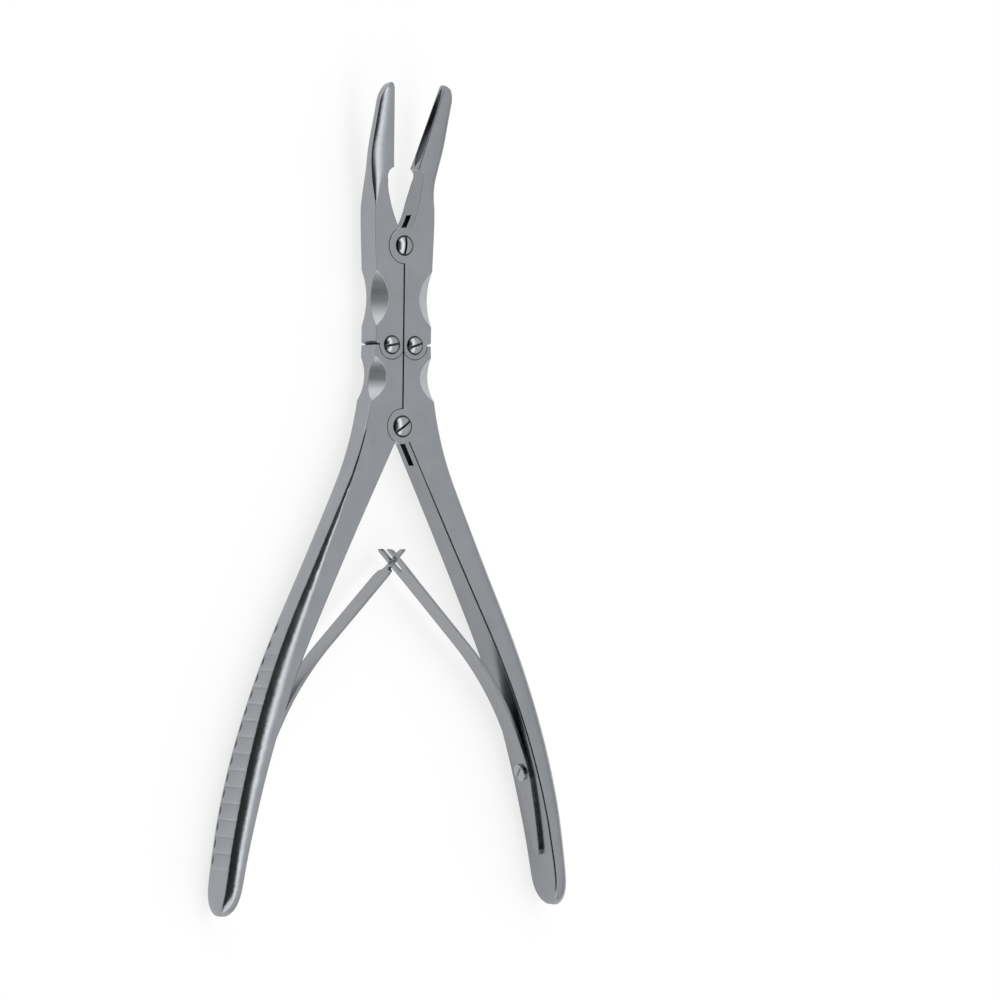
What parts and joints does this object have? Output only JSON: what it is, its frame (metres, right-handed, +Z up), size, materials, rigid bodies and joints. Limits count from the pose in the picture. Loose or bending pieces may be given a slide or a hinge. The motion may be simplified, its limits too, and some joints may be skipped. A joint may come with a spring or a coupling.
{
  "type": "bone rongeur",
  "caption": "Double-action bone rongeur, open: two cup-shaped cutting jaws bent forward, closed through a four-pivot lever linkage by two ridged handles held apart by crossed leaf springs.",
  "frame": {"origin": "centre of the bounding box's bottom face, with the fully open instrument lying on its back, screw heads up", "axes": "+Y along the instrument towards the jaw tips, +X towards the right handle as seen from the screw heads, +Z up, out of the screw-head side"},
  "size_m": [0.1074, 0.2186, 0.0168],
  "materials": {
    "satin_steel": "satin-blasted stainless steel with polished edges",
    "spring_steel": "ground and polished spring steel leaf",
    "polished_screw_steel": "polished stainless steel, slotted head"
  },
  "bodies": {
    "left_handle": {"left_handle": "satin_steel", "left_spring": "spring_steel", "left_spring_screw": "polished_screw_steel"},
    "right_handle": {"right_handle": "satin_steel", "right_spring": "spring_steel", "right_spring_screw": "polished_screw_steel", "handle_pivot_screw": "polished_screw_steel"},
    "left_jaw": {"left_jaw": "satin_steel", "left_link_screw": "polished_screw_steel"},
    "right_jaw": {"right_jaw": "satin_steel", "right_link_screw": "polished_screw_steel", "jaw_pivot_screw": "polished_screw_steel"}
  },
  "joints": [
    {"name": "handle_pivot", "type": "hinge", "parent": "left_handle", "child": "right_handle", "pos_m": [0, 0.01886, 0.00656], "axis": [0, 0, -1], "range_deg": [0, 26], "stiffness_Nm_per_rad": 3, "springref_deg": -6.88, "deforming": ["left_spring", "right_spring"]},
    {"name": "left_link", "type": "hinge", "parent": "left_handle", "child": "left_jaw", "pos_m": [-0.0036, 0.04036, 0.00656], "axis": [0, 0, -1], "range_deg": [0, 23.6]},
    {"name": "right_link", "type": "hinge", "parent": "right_handle", "child": "right_jaw", "pos_m": [0.0036, 0.04036, 0.00656], "axis": [0, 0, 1], "range_deg": [0, 23.6]}
  ],
  "couplings": [
    {"joint": "left_link", "follows": "handle_pivot", "ratio": 0.904},
    {"joint": "right_link", "follows": "handle_pivot", "ratio": 0.904}
  ]
}
